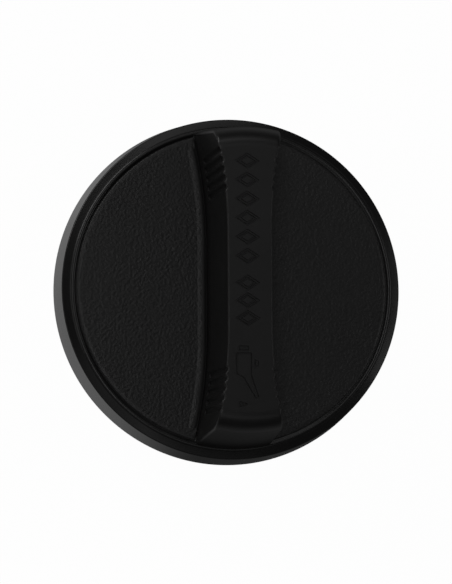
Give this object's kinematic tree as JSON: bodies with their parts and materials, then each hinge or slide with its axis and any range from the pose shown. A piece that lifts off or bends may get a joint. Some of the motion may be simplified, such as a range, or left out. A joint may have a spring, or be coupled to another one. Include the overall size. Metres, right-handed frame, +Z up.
{
  "type": "engine oil filler cap",
  "caption": "Round black twist-off oil filler cap with a tall waisted grip, a bayonet stub and a packing ring.",
  "frame": {"origin": "centre of the lower end of the stub, on the turning axis", "axes": "+Z up along the turning axis, out through the grip; +Y along the length of the grip; X across it"},
  "size_m": [0.062, 0.062, 0.0396],
  "materials": {
    "cover_plastic": "black glass-filled nylon, satin edges and grip, finely grained faces",
    "plug_plastic": "black glass-filled nylon, plain moulded",
    "seal_rubber": "black oil-resistant rubber, matt"
  },
  "bodies": {
    "root": {"cap_cover": "cover_plastic", "bayonet_plug": "plug_plastic", "seal_ring": "seal_rubber"}
  },
  "joints": []
}
